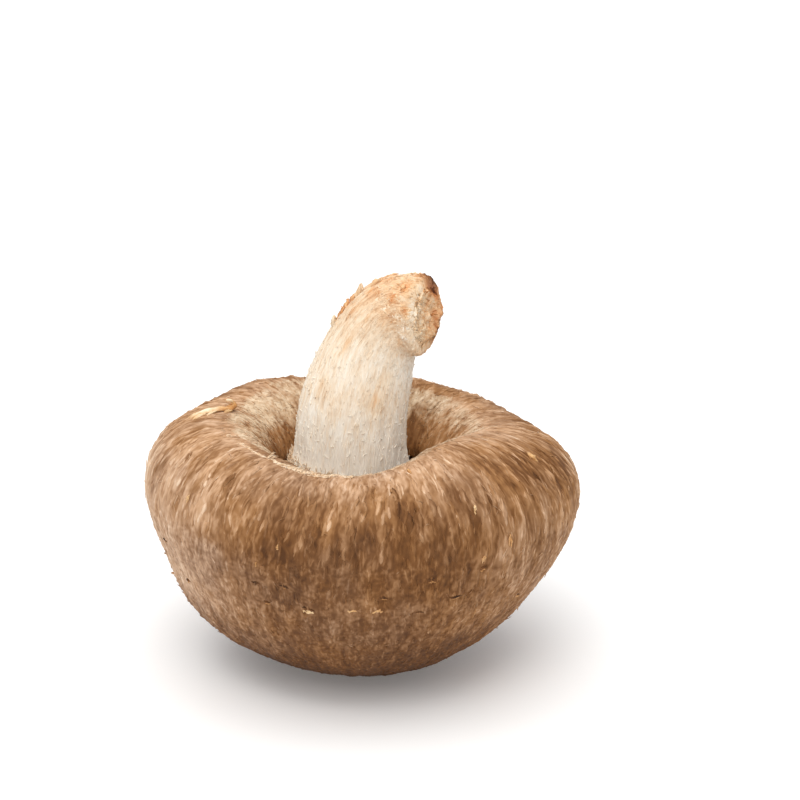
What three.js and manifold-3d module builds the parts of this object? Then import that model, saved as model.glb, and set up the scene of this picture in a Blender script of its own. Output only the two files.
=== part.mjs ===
// A fresh shiitake mushroom standing on its cap, stem up. Millimetres, +Z up.
// The origin is the centre of the small flat spot on the crown, where the cap rests.
// Cap, gills and stem are shaped in the cap's own frame, whose origin is the middle of the
// cap's widest ring, and placeInPart leans them together and sets them on the flat spot.
// Directions round the cap are in degrees from +X, turning towards +Y.
import * as THREE from 'three';
import { mergeVertices } from 'three/addons/utils/BufferGeometryUtils.js';
import Module from 'manifold-3d';

const wasm = await Module();
wasm.setup();

const { clamp, degToRad, euclideanModulo, lerp, radToDeg, seededRandom, smoothstep } = THREE.MathUtils;
const gap = 0.3; // clearance between neighbouring solids

// Stance
const capLean = 3; // degrees the cap leans to +X
const ringHeight = 26.2; // middle of the widest ring above the surface
const crownShift = 0.65; // the leaning crown touches down this far beyond the ring's middle

// Cap: a deep dome below its widest ring, and a margin that rolls in above it
const capRadius = 32.5;
const crownDepth = 26.8;
const rollRadius = 9.8;
const rollSweep = 162; // degrees that the margin curls, from the widest ring to its edge
const capAround = 72;
const domeSteps = 15;
const rollSteps = 13;

// Underside of the cap, where the gills hang: its wall, its floor and the bend between them
const cavityRadius = 21.8;
const cavityRoof = 0.4;
const cavityFloor = -6.6;

// The rim's long rises and dips: direction, half width and height
const rimWaves = [
  { at: -38, half: 62, rise: 2.6 },
  { at: 24, half: 34, rise: -0.6 },
  { at: 76, half: 34, rise: 0.5 },
  { at: 128, half: 34, rise: 0.9 },
  { at: 153, half: 28, rise: -1.3 },
  { at: 184, half: 54, rise: 1.2 },
];
const waveFoot = -5.6; // the waves start here and are whole at waveTop
const waveTop = 7;
const lipLean = { at: -32, half: 75, inward: 4.2 }; // the margin folds further in here
const slimSide = { at: 5, half: 100, inward: 2.2 }; // the dome is slimmer low down here
// Broad swellings of the dome's side: direction, half width, height, reach up and down, outward
const sideSwells = [
  { at: 190, half: 90, height: -20, reach: 9, outward: 1 },
  { at: 190, half: 80, height: -8, reach: 8, outward: -0.8 },
];

// Seen from above the cap is narrower from front to back, and a little three-sided
const planSqueeze = 0.5;
const planLobes = 0.4;

// Gills: two sizes of blade on a thin bed
const gillCount = 48; // of each size
const gillThickness = 0.64;
const shortGillStart = 0.42; // a short blade starts this far along a long one
const bedThickness = 0.9;
const bedInner = 9.9;
const bedOuter = 20.9;
const gillSeed = 7;

// Stem: cross sections between its two sides as seen from -Y, from foot to cut. A section is
// an ellipse from left to right, deep along Y, turned by yaw degrees about its own middle.
const stemSections = [
  { left: [-11.1, -6.3], right: [7.4, -6.3], y: 0.5, deep: 9.3, yaw: 0 },
  { left: [-10.7, -1.5], right: [6.7, -1.5], y: 0.5, deep: 8.7, yaw: 0 },
  { left: [-10.5, 3], right: [6.2, 3], y: 0.5, deep: 8.4, yaw: 0 },
  { left: [-10.4, 9], right: [5.9, 9], y: 0.6, deep: 8.1, yaw: 0 },
  { left: [-9.9, 14.3], right: [6, 13], y: 0.8, deep: 7.9, yaw: 0 },
  { left: [-8.9, 19.1], right: [6.2, 16.8], y: 1, deep: 7.6, yaw: 0 },
  { left: [-7, 24.2], right: [6.4, 19.6], y: 1.1, deep: 7.2, yaw: 2 },
  { left: [-4.2, 28.5], right: [6.5, 20.9], y: 1, deep: 6.9, yaw: 5 },
  { left: [-0.6, 32], right: [6.6, 21.6], y: 0.6, deep: 6.5, yaw: 11 },
  { left: [3.4, 33.8], right: [7.2, 22.1], y: -0.2, deep: 6, yaw: 20 },
  { left: [7.6, 34], right: [8.2, 22.6], y: -1.3, deep: 5.5, yaw: 29 },
];
const stemAround = 40;
const stemSteps = 30;
const cutRings = 4;
const cutRelief = 0.3; // roughness of the cut face
const ribRelief = 0.12; // low ribs that run along the stem
const stemMiddle = [(stemSections[0].left[0] + stemSections[0].right[0]) / 2, stemSections[0].y];

const placeInPart = new THREE.Matrix4()
  .makeTranslation(-crownShift, 0, ringHeight)
  .multiply(new THREE.Matrix4().makeRotationY(degToRad(capLean)));

// One smooth hump: 1 in the middle, 0 from half on
function hump(offset, half) {
  return 0.5 + 0.5 * Math.cos(Math.PI * Math.min(Math.abs(offset) / half, 1));
}

// A hump round the cap, in degrees
function humpAt(direction, { at, half }) {
  return hump(euclideanModulo(direction - at + 180, 360) - 180, half);
}

// Bend one point of the true round form, given as radius, direction and height
function bend(radius, direction, height) {
  const rim = smoothstep(height, waveFoot, waveTop);
  const rise = rimWaves.reduce((sum, wave) => sum + wave.rise * humpAt(direction, wave), 0);
  const ripple = 0.2 * Math.cos(degToRad(5 * direction - 20));
  const inward = lipLean.inward * humpAt(direction, lipLean) * clamp((capRadius - radius) / 10, 0, 1);
  const onUnderside = radius < cavityRadius + 1 && height > cavityFloor - 1;
  const dome = onUnderside ? 0 : clamp((radius - 4) / 12, 0, 1);
  const slim = slimSide.inward * humpAt(direction, slimSide) * clamp(-height / 12, 0, 1);
  const swell = sideSwells.reduce((sum, side) => (
    sum + side.outward * humpAt(direction, side) * hump(height - side.height, side.reach)
  ), 0);
  const around = degToRad(direction);
  const plan = planSqueeze * (Math.cos(2 * around) - 1) + planLobes * Math.sin(3 * around);
  return {
    radius: radius - rim * inward - dome * (slim - swell) + plan * smoothstep(radius, 18, 30),
    height: height + rim * (rise + ripple),
  };
}

// Move every vertex of a geometry with a function of its place
function shape(geometry, move) {
  const places = geometry.getAttribute('position');
  const place = new THREE.Vector3();
  for (let i = 0; i < places.count; i += 1) {
    place.fromBufferAttribute(places, i);
    move(place);
    places.setXYZ(i, place.x, place.y, place.z);
  }
  return geometry;
}

// Turn a geometry from three.js's +Y axis to +Z
function standUp(geometry) {
  return geometry.rotateX(Math.PI / 2);
}

// The whole outline of the cap: dome, rolled margin and underside, from axis to axis
function capProfile() {
  const points = [];
  for (let i = 0; i < domeSteps; i += 1) {
    const turn = (i / domeSteps) * (Math.PI / 2);
    points.push(new THREE.Vector2(capRadius * Math.sin(turn), -crownDepth * Math.cos(turn)));
  }
  for (let i = 0; i <= rollSteps; i += 1) {
    const turn = (i / rollSteps) * degToRad(rollSweep);
    const radius = capRadius - rollRadius + rollRadius * Math.cos(turn);
    points.push(new THREE.Vector2(radius, rollRadius * Math.sin(turn)));
  }
  const edge = points[points.length - 1];
  const under = new THREE.Path();
  under.moveTo(edge.x, edge.y);
  under.bezierCurveTo(edge.x - 0.3, edge.y - 1.6, edge.x + 1.2, cavityRoof + 0.4, edge.x + 3.6, cavityRoof);
  under.bezierCurveTo(20, cavityRoof - 0.4, cavityRadius + 0.4, -1.6, cavityRadius, -4);
  under.bezierCurveTo(cavityRadius - 0.3, -5.8, 20.6, cavityFloor, 18.6, cavityFloor);
  points.push(...under.getPoints(4).slice(1));
  points.push(new THREE.Vector2(9, cavityFloor), new THREE.Vector2(0, cavityFloor));
  return points;
}

// Shape the round form into the leaning, wavy one, and press its crown flat where it rests
function makeCap() {
  const geometry = standUp(new THREE.LatheGeometry(capProfile(), capAround));
  shape(geometry, (place) => {
    const turn = Math.atan2(place.y, place.x);
    const bent = bend(Math.hypot(place.x, place.y), radToDeg(turn), place.z);
    place.set(bent.radius * Math.cos(turn), bent.radius * Math.sin(turn), bent.height);
    place.applyMatrix4(placeInPart);
    place.z = Math.max(place.z, 0);
  });
  return geometry;
}

// A geometry as a solid that can be joined and cut
function toSolid(geometry) {
  geometry.deleteAttribute('normal');
  geometry.deleteAttribute('uv');
  const merged = mergeVertices(geometry, 1e-4);
  const vertProperties = merged.getAttribute('position').array;
  const triVerts = merged.index.array;
  return new wasm.Manifold(new wasm.Mesh({ numProp: 3, vertProperties, triVerts }));
}

function toGeometry(solid) {
  const mesh = solid.getMesh();
  const geometry = new THREE.BufferGeometry();
  geometry.setAttribute('position', new THREE.BufferAttribute(mesh.vertProperties, 3));
  geometry.setIndex(new THREE.BufferAttribute(mesh.triVerts, 1));
  geometry.computeVertexNormals();
  return geometry;
}

// The bed that the gills grow from: a thin ring on the cavity's floor, round the stem's foot
function makeGillBed() {
  const bottom = cavityFloor + gap;
  const ring = new THREE.LatheGeometry([
    new THREE.Vector2(bedInner, bottom),
    new THREE.Vector2(bedOuter - 2.5, bottom),
    new THREE.Vector2(bedOuter - 0.9, bottom + 0.3),
    new THREE.Vector2(bedOuter, bottom + bedThickness),
    new THREE.Vector2(bedInner, bottom + bedThickness),
    new THREE.Vector2(bedInner, bottom),
  ], gillCount);
  return standUp(ring);
}

// One gill: an arched blade from the stem's foot, from along 0, to the cavity's wall, along 1
function makeGill(start, turn, height) {
  const inner = bedInner + 0.2;
  const outer = bedOuter + 0.2;
  const foot = cavityFloor + gap + bedThickness / 2;
  const first = lerp(inner, outer, start);
  const outline = new THREE.Shape();
  const shoulder = outer - 2.6;
  outline.moveTo(first, foot);
  outline.lineTo(outer - 0.6, foot);
  outline.bezierCurveTo(outer, foot + 1.6, outer, height - 1.6, shoulder, height - 0.5);
  outline.bezierCurveTo(lerp(first, outer, 0.5), height + 0.3, first + 1, height, first, height - 0.9);
  const cut = { depth: gillThickness, bevelEnabled: false, curveSegments: 3 };
  const blade = new THREE.ExtrudeGeometry(outline, cut);
  blade.translate(0, 0, -gillThickness / 2);
  return standUp(blade).rotateZ(degToRad(turn));
}

function makeGills() {
  const step = 360 / gillCount;
  const solids = [toSolid(makeGillBed())];
  for (let i = 0; i < gillCount; i += 1) {
    const sway = seededRandom(gillSeed + i) - 0.5;
    const tall = -1 - 0.5 * seededRandom(gillSeed * 2 + i);
    solids.push(toSolid(makeGill(0, i * step + sway, tall)));
    solids.push(toSolid(makeGill(shortGillStart + 0.2 * sway, (i + 0.5) * step + sway, tall - 0.7)));
  }
  const geometry = toGeometry(wasm.Manifold.union(solids));
  return shape(geometry, (place) => {
    const gather = clamp((bedOuter - Math.hypot(place.x, place.y)) / (bedOuter - bedInner), 0, 1);
    place.x += gather * stemMiddle[0];
    place.y += gather * stemMiddle[1];
    place.applyMatrix4(placeInPart);
  });
}

// The smooth curve through one value of every stem section
function stemCurve(pick) {
  return new THREE.CatmullRomCurve3(stemSections.map((section) => new THREE.Vector3(...pick(section))));
}

// A unit cylinder with a ringed top, bent to the stem's sections: low ribs along it, a rough cut on top
function makeStem() {
  const leftSide = stemCurve(({ left }) => [left[0], 0, left[1]]);
  const rightSide = stemCurve(({ right }) => [right[0], 0, right[1]]);
  const depths = stemCurve(({ y, deep, yaw }) => [y, deep, yaw]);
  const profile = [new THREE.Vector2(0, 0)];
  for (let i = 0; i <= stemSteps; i += 1) {
    profile.push(new THREE.Vector2(1, i / stemSteps));
  }
  for (let i = cutRings - 1; i >= 0; i -= 1) {
    profile.push(new THREE.Vector2(i / cutRings, 1));
  }
  const geometry = standUp(new THREE.LatheGeometry(profile, stemAround));
  const half = new THREE.Vector3();
  const middle = new THREE.Vector3();
  const deepWay = new THREE.Vector3();
  return shape(geometry, (place) => {
    const turn = Math.atan2(place.y, place.x);
    const reach = Math.hypot(place.x, place.y);
    const along = clamp(place.z, 0, 1);
    const left = leftSide.getPoint(along);
    const right = rightSide.getPoint(along);
    const depth = depths.getPoint(along);
    const yaw = degToRad(depth.z);
    half.subVectors(right, left).multiplyScalar(0.5);
    middle.addVectors(left, right).multiplyScalar(0.5).setY(depth.x);
    deepWay.set(Math.sin(yaw), Math.cos(yaw), 0).multiplyScalar(depth.y);
    const ribs = 1 + (ribRelief / depth.y) * (Math.cos(9 * turn + 1) + Math.cos(14 * turn + 4 * along));
    const onCut = along > 0.999 && reach < 0.999;
    const rough = onCut ? cutRelief * (Math.sin(5.1 * place.x + 1.7 * place.y) + Math.cos(4.3 * place.y)) : 0;
    place.copy(middle);
    place.addScaledVector(half, reach * ribs * Math.cos(turn));
    place.addScaledVector(deepWay, reach * ribs * Math.sin(turn));
    place.x += rough;
    place.applyMatrix4(placeInPart);
  });
}

const mushroom = new THREE.Group();
const finishes = {
  cap: { color: 0x8a6040, roughness: 0.8, metalness: 0 },
  gills: { color: 0xe6d3ae, roughness: 0.85, metalness: 0 },
  stem: { color: 0xeaddc8, roughness: 0.8, metalness: 0 },
};

function addPiece(name, geometry) {
  const mesh = new THREE.Mesh(geometry, new THREE.MeshStandardMaterial(finishes[name]));
  mesh.name = name;
  mushroom.add(mesh);
}

addPiece('cap', makeCap());
addPiece('gills', makeGills());
addPiece('stem', makeStem());

export default mushroom;
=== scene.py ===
from math import cos, degrees, pi, radians, sin, tau

import bmesh
import bpy
import numpy as np
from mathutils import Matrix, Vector


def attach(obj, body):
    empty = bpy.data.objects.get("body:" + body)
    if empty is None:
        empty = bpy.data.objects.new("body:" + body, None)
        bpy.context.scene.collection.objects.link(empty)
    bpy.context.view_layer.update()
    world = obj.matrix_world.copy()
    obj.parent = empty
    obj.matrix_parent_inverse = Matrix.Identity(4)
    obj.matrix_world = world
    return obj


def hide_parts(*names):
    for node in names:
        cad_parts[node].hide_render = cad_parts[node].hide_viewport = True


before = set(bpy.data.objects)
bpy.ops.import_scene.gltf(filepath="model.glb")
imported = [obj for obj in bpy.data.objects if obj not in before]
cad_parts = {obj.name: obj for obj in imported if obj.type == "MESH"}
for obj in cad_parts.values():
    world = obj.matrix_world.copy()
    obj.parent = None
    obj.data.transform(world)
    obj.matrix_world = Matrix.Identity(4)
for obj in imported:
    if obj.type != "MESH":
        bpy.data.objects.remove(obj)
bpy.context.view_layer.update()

mm = 0.001  # shapes below are worked out in millimetres and stored in metres

# the mushroom's form, the same dimensions as its solids

stance = {"lean": 3.0, "ringHeight": 26.2, "crownShift": 0.65}

capForm = {
    "radius": 32.5,
    "depth": 26.8,
    "rollRadius": 9.8,
    "rollSweep": 162.0,
    "cavityRadius": 21.8,
    "cavityRoof": 0.4,
    "cavityFloor": -6.6,
    "waveFoot": -5.6,
    "waveTop": 7.0,
    # rises and dips of the margin: direction, half width, height
    "rimWaves": [
        (-38, 62, 2.6), (24, 34, -0.6), (76, 34, 0.5), (128, 34, 0.9), (153, 28, -1.3), (184, 54, 1.2),
    ],
    "lipLean": (-32, 75, 4.2),
    "slimSide": (5, 100, 2.2),
    "sideSwells": [(190, 90, -20, 9, 1.0), (190, 80, -8, 8, -0.8)],
    "planSqueeze": 0.5,
    "planLobes": 0.4,
    "planSpan": (18, 30),  # radius over which the plan takes its shape
    "ripple": (0.2, 5, 20),  # height, ripples round, degrees
    "foldRun": 10,
    "domeStart": 4,
    "domeRun": 12,
    "slimRun": 12,
}

stemForm = {
    # left and right side seen from the front, middle along Y, depth along Y, yaw in degrees
    "sections": [
        (-11.1, -6.3, 7.4, -6.3, 0.5, 9.3, 0),
        (-10.7, -1.5, 6.7, -1.5, 0.5, 8.7, 0),
        (-10.5, 3.0, 6.2, 3.0, 0.5, 8.4, 0),
        (-10.4, 9.0, 5.9, 9.0, 0.6, 8.1, 0),
        (-9.9, 14.3, 6.0, 13.0, 0.8, 7.9, 0),
        (-8.9, 19.1, 6.2, 16.8, 1.0, 7.6, 0),
        (-7.0, 24.2, 6.4, 19.6, 1.1, 7.2, 2),
        (-4.2, 28.5, 6.5, 20.9, 1.0, 6.9, 5),
        (-0.6, 32.0, 6.6, 21.6, 0.6, 6.5, 11),
        (3.4, 33.8, 7.2, 22.1, -0.2, 6.0, 20),
        (7.6, 34.0, 8.2, 22.6, -1.3, 5.5, 29),
    ],
    "length": 46.0,
    "girth": 8.2,  # its usual radius
    "cutRun": 8.0,  # how far past its length a place may run in over the cut
}

allRound = float("inf")  # a half width that takes in every direction
fromStart = (-2, -1)  # a rise that is over before the first place
toEnd = (98, 99)  # a fall that starts after the last place


def smoothStep(value, low, high):
    share = np.clip((value - low) / (high - low), 0, 1)
    return share * share * (3 - 2 * share)


def fallStep(value, low, high):
    return 1 - smoothStep(value, low, high)


def hump(offset, half):
    return 0.5 + 0.5 * np.cos(pi * np.clip(np.abs(offset) / half, 0, 1))


def turnedFrom(direction, at):
    # degrees from one direction to another, from -180 to 180
    return (direction - at + 180) % 360 - 180


def humpAt(direction, at, half):
    return hump(turnedFrom(direction, at), half)


def humps(direction, rows):
    # rows: direction, half width, amount
    return sum(amount * humpAt(direction, at, half) for at, half, amount in rows)


def paint(turn, along, patches=(), washes=()):
    # patches: direction, half width, along, half length, amount
    # washes: direction, half width, rise along, fall along, amount
    direction = np.degrees(turn)
    total = 0
    for at, half, level, reach, amount in patches:
        total = total + amount * humpAt(direction, at, half) * hump(along - level, reach)
    for at, half, rise, fall, amount in washes:
        span = smoothStep(along, *rise) * fallStep(along, *fall)
        total = total + amount * humpAt(direction, at, half) * span
    return total


def spot(turn, along, girth, at, level, wide, long):
    # a soft spot of half width and half length in millimetres, 1 in its middle
    aside = np.radians(turnedFrom(np.degrees(turn), at)) * girth / wide
    return np.exp(-(aside**2) - ((along - level) / long) ** 2)


def bezier(a, b, c, d, count):
    share = np.linspace(0, 1, count + 1)[1:, None]
    a, b, c, d = (np.array(p, float) for p in (a, b, c, d))
    rest = 1 - share
    return rest**3 * a + 3 * rest**2 * share * b + 3 * rest * share**2 * c + share**3 * d


def capOutline():
    # crown to margin to the middle of the underside, with the length along it
    form = capForm
    turn = np.linspace(0, pi / 2, 400)
    dome = np.stack([form["radius"] * np.sin(turn), -form["depth"] * np.cos(turn)], 1)
    turn = np.linspace(0, radians(form["rollSweep"]), 300)[1:]
    middle = form["radius"] - form["rollRadius"]
    roll = np.stack([middle + form["rollRadius"] * np.cos(turn), form["rollRadius"] * np.sin(turn)], 1)
    edge, roof, wall, floor = roll[-1], form["cavityRoof"], form["cavityRadius"], form["cavityFloor"]
    under = [
        bezier(edge, (edge[0] - 0.3, edge[1] - 1.6), (edge[0] + 1.2, roof + 0.4), (edge[0] + 3.6, roof), 40),
        bezier((edge[0] + 3.6, roof), (20, roof - 0.4), (wall + 0.4, -1.6), (wall, -4), 40),
        bezier((wall, -4), (wall - 0.3, -5.8), (20.6, floor), (18.6, floor), 40),
        np.array([(9, floor), (0, floor)], float),
    ]
    line = np.vstack([dome, roll, *under])
    steps = np.hypot(*np.diff(line, axis=0).T)
    along = np.concatenate([[0], np.cumsum(steps)])
    way = np.gradient(line, along, axis=0)
    way /= np.linalg.norm(way, axis=1)[:, None]
    marks = {"ring": along[len(dome) - 1], "edge": along[len(dome) + len(roll) - 1], "end": along[-1]}
    return line, along, np.stack([way[:, 1], -way[:, 0]], 1), marks


outline, outlineAlong, outlineNormal, marks = capOutline()


def setDown(points):
    # from the cap's own frame to the part's, leaning a little and standing on the crown
    lean = radians(stance["lean"])
    x = points[:, 0] * cos(lean) + points[:, 2] * sin(lean) - stance["crownShift"]
    z = -points[:, 0] * sin(lean) + points[:, 2] * cos(lean) + stance["ringHeight"]
    return np.stack([x, points[:, 1], z], 1)


def bend(radius, direction, height, onDome):
    form = capForm
    rim = smoothStep(height, form["waveFoot"], form["waveTop"])
    rise = humps(direction, form["rimWaves"])
    high, times, shift = form["ripple"]
    ripple = high * np.cos(np.radians(times * direction - shift))
    at, half, inward = form["lipLean"]
    fold = inward * humpAt(direction, at, half) * np.clip((form["radius"] - radius) / form["foldRun"], 0, 1)
    dome = onDome * np.clip((radius - form["domeStart"]) / form["domeRun"], 0, 1)
    at, half, inward = form["slimSide"]
    slim = inward * humpAt(direction, at, half) * np.clip(-height / form["slimRun"], 0, 1)
    swell = sum(out * humpAt(direction, at, half) * hump(height - level, reach)
                for at, half, level, reach, out in form["sideSwells"])
    around = np.radians(direction)
    plan = form["planSqueeze"] * (np.cos(2 * around) - 1) + form["planLobes"] * np.sin(3 * around)
    bent = radius - rim * fold - dome * (slim - swell) + plan * smoothStep(radius, *form["planSpan"])
    return bent, height + rim * (rise + ripple)


def capPoint(turn, along, lift):
    # a place on the cap: turn in radians round it, millimetres along the outline, lift above the skin
    radius = np.interp(along, outlineAlong, outline[:, 0])
    height = np.interp(along, outlineAlong, outline[:, 1])
    radius = radius + lift * np.interp(along, outlineAlong, outlineNormal[:, 0])
    height = height + lift * np.interp(along, outlineAlong, outlineNormal[:, 1])
    radius, height = bend(radius, np.degrees(turn), height, along < marks["ring"])
    placed = setDown(np.stack([radius * np.cos(turn), radius * np.sin(turn), height], 1))
    placed[:, 2] = np.maximum(placed[:, 2], 0)
    return placed


def girthAt(along):
    return np.interp(along, outlineAlong, outline[:, 0])


def curveThrough(rows, share):
    # smooth curve through the rows, share from 0 to 1
    rows = np.array(rows, float)
    rows = np.vstack([2 * rows[0] - rows[1], rows, 2 * rows[-1] - rows[-2]])
    place = np.clip(share, 0, 1) * (len(rows) - 3)
    step = np.minimum(place.astype(int), len(rows) - 4)
    t = (place - step)[:, None]
    a, b, c, d = (rows[step + i] for i in range(4))
    return 0.5 * (2 * b + (c - a) * t + (2 * a - 5 * b + 4 * c - d) * t**2 + (3 * b - a - 3 * c + d) * t**3)


def stemFrame(share):
    section = curveThrough(stemForm["sections"], share)
    left, right = section[:, :2], section[:, 2:4]
    middleY, deep, yaw = section[:, 4], section[:, 5], np.radians(section[:, 6])
    zero = np.zeros(len(share))
    half = np.stack([(right[:, 0] - left[:, 0]) / 2, zero, (right[:, 1] - left[:, 1]) / 2], 1)
    middle = np.stack([(right[:, 0] + left[:, 0]) / 2, middleY, (right[:, 1] + left[:, 1]) / 2], 1)
    deepWay = np.stack([np.sin(yaw), np.cos(yaw), zero], 1) * deep[:, None]
    onward = np.cross(deepWay, half)
    onward /= np.linalg.norm(onward, axis=1)[:, None]
    return middle, half, deepWay, onward


def stemPoint(turn, share, lift, reach, out):
    # a place on the stem: turn in radians, share of its length, lift above its side, out from the cut
    middle, half, deepWay, onward = stemFrame(share)
    around = np.cos(turn)[:, None] * half + np.sin(turn)[:, None] * deepWay
    size = np.linalg.norm(around, axis=1)
    scale = reach + lift / size
    out = np.broadcast_to(out, size.shape)
    return setDown(middle + around * scale[:, None] + onward * out[:, None])


# seeded patterns

def gridNoise(u, v, period, seed, rows=64):
    # smooth noise from 0 to 1 whose cells close on themselves after a whole number of cells of u
    table = np.random.default_rng(seed).random((period, rows))
    iu, iv = np.floor(u).astype(int), np.floor(v).astype(int)
    fu, fv = u - iu, v - iv
    fu, fv = fu * fu * (3 - 2 * fu), fv * fv * (3 - 2 * fv)
    low = table[iu % period, iv % rows] * (1 - fu) + table[(iu + 1) % period, iv % rows] * fu
    high = table[iu % period, (iv + 1) % rows] * (1 - fu) + table[(iu + 1) % period, (iv + 1) % rows] * fu
    return low * (1 - fv) + high * fv


def skinNoise(turn, along, cells, length, seed):
    # cells round the cap, each so many millimetres long, and fewer of them where the cap is narrow
    girth = girthAt(along)
    layers = [gridNoise(turn / tau * (cells // part), along / length, cells // part, seed + 50 * part)
              for part in (1, 2, 4)]
    wide, small = smoothStep(girth, 14, 22), smoothStep(girth, 6, 11)
    return wide * layers[0] + (1 - wide) * (small * layers[1] + (1 - small) * layers[2])


def stemNoise(turn, along, cells, length, seed):
    return gridNoise(turn / tau * cells, along / length, cells, seed)


def cutNoise(turn, reach, scale, seed):
    # over the cut, which is 1 from its middle to its edge
    x, y = reach * np.cos(turn), reach * np.sin(turn)
    return gridNoise((x + 2) * scale, (y + 2) * scale, 64, seed)


def mottle(noise, turn, along, layers):
    # layers of a noise swinging about 0: share, cells round, length of a cell, seed
    return sum(share * (noise(turn, along, *layer) - 0.5) for share, *layer in layers)


# making meshes

def linkMesh(bm, name, material):
    mesh = bpy.data.meshes.new(name)
    bm.to_mesh(mesh)
    bm.free()
    piece = bpy.data.objects.new(name, mesh)
    bpy.context.scene.collection.objects.link(piece)
    mesh.materials.append(material)
    for polygon in mesh.polygons:
        polygon.use_smooth = True
    return piece


def readPoints(mesh):
    flat = np.empty(len(mesh.vertices) * 3, np.float32)
    mesh.vertices.foreach_get("co", flat)
    return flat.reshape(-1, 3).astype(float)


def writePoints(mesh, points):
    mesh.vertices.foreach_set("co", (points * mm).astype(np.float32).ravel())
    mesh.update()


def writeNumbers(mesh, **numbers):
    for name, values in numbers.items():
        layer = mesh.attributes.new(name, "FLOAT", "POINT")
        layer.data.foreach_set("value", values.astype(np.float32))


def writeGrain(mesh, turn, along, reach=1.0):
    # a place on the skin as its materials read it, without a seam
    place = np.stack([reach * np.cos(turn), reach * np.sin(turn), along], 1)
    layer = mesh.attributes.new("grain", "FLOAT_VECTOR", "POINT")
    layer.data.foreach_set("vector", place.astype(np.float32).ravel())


def spinRows(rows, steps):
    # a closed round body from an outline that starts and ends on the axis
    bm = bmesh.new()
    verts = [bm.verts.new((r, 0, z)) for r, z in rows]
    edges = [bm.edges.new(pair) for pair in zip(verts, verts[1:])]
    bmesh.ops.spin(
        bm, geom=verts + edges, cent=(0, 0, 0), axis=(0, 0, 1), angle=tau, steps=steps, use_merge=True
    )
    bmesh.ops.remove_doubles(bm, verts=bm.verts, dist=1e-4)
    bmesh.ops.recalc_face_normals(bm, faces=bm.faces)
    return bm


# making materials

def srgb(red, green, blue):
    # screen colour 0-255 to the linear colour that shaders take
    values = np.array([red, green, blue]) / 255
    linear = np.where(values <= 0.04045, values / 12.92, ((values + 0.055) / 1.055) ** 2.4)
    return tuple(float(v) for v in linear)


class NodeDesk:
    # one new material, with short hands for wiring its nodes
    def __init__(self, name):
        self.material = bpy.data.materials.new(name)
        self.material.use_nodes = True
        self.tree = self.material.node_tree
        self.tree.nodes.clear()
        self.shader = self.add("ShaderNodeBsdfPrincipled")
        self.wire(self.shader.outputs["BSDF"], self.add("ShaderNodeOutputMaterial").inputs["Surface"])

    def add(self, kind, **values):
        node = self.tree.nodes.new(kind)
        for key, value in values.items():
            setattr(node, key, value)
        return node

    def wire(self, source, target):
        self.tree.links.new(source, target)

    def put(self, socket, value):
        if isinstance(value, bpy.types.NodeSocket):
            self.wire(value, socket)
        else:
            socket.default_value = value

    def feed(self, node, values):
        for socket, value in zip(node.inputs, values):
            self.put(socket, value)
        return node.outputs[0]

    def fill(self, node, **values):
        for key, value in values.items():
            node.inputs[key].default_value = value

    def place(self):
        return self.add("ShaderNodeTexCoord").outputs["Object"]

    def attribute(self, name, output="Fac"):
        return self.add("ShaderNodeAttribute", attribute_name=name).outputs[output]

    def math(self, operation, *values, clamp=False):
        return self.feed(self.add("ShaderNodeMath", operation=operation, use_clamp=clamp), values)

    def stretch(self, vector, scale, shift=(0, 0, 0)):
        node = self.add("ShaderNodeMapping")
        self.wire(vector, node.inputs["Vector"])
        self.fill(node, Scale=scale, Location=shift)
        return node.outputs[0]

    def noise(self, vector, scale, detail=2.0, rough=0.55, distort=0.0, output="Fac"):
        node = self.add("ShaderNodeTexNoise")
        self.wire(vector, node.inputs["Vector"])
        self.fill(node, Scale=scale, Detail=detail, Roughness=rough, Distortion=distort)
        return node.outputs[output]

    def ramp(self, value, stops):
        # stops: place, screen colour
        node = self.add("ShaderNodeValToRGB")
        self.wire(value, node.inputs["Fac"])
        elements = node.color_ramp.elements
        for place, color in stops[2:]:
            elements.new(place)
        for element, (place, color) in zip(elements, stops):
            element.position = place
            element.color = (*srgb(*color), 1)
        return node.outputs["Color"]

    def span(self, value, low, high, toLow=0.0, toHigh=1.0):
        node = self.add("ShaderNodeMapRange")
        self.fill(node, **{"From Min": low, "From Max": high, "To Min": toLow, "To Max": toHigh})
        self.wire(value, node.inputs["Value"])
        return node.outputs["Result"]

    def mix(self, share, a, b):
        node = self.add("ShaderNodeMix", data_type="RGBA")
        self.wire(share, node.inputs["Factor"])
        for socket, color in ((node.inputs[6], a), (node.inputs[7], b)):
            self.put(socket, color if isinstance(color, bpy.types.NodeSocket) else (*color, 1))
        return node.outputs[2]

    def finish(self, color, height, settings):
        # colour, sheen and fine relief, whose depth is in metres
        self.wire(color, self.shader.inputs["Base Color"])
        self.shader.inputs["Roughness"].default_value = settings["roughness"]
        self.shader.inputs["Specular IOR Level"].default_value = settings["sheen"]
        bump = self.add("ShaderNodeBump")
        self.wire(height, bump.inputs["Height"])
        self.fill(bump, Distance=settings["reliefDepth"], Strength=settings["relief"])
        self.wire(bump.outputs["Normal"], self.shader.inputs["Normal"])
        return self.material


print("frame loaded")

# camera, lights and floor

cameraSettings = {
    "elevation": 20.5,
    "distance": 500.0,
    "lens": 149.9,
    "right": 5.56,
    "up": 13.5,
    "sensor": 36,
    "clipStart": 0.01,
}


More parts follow.
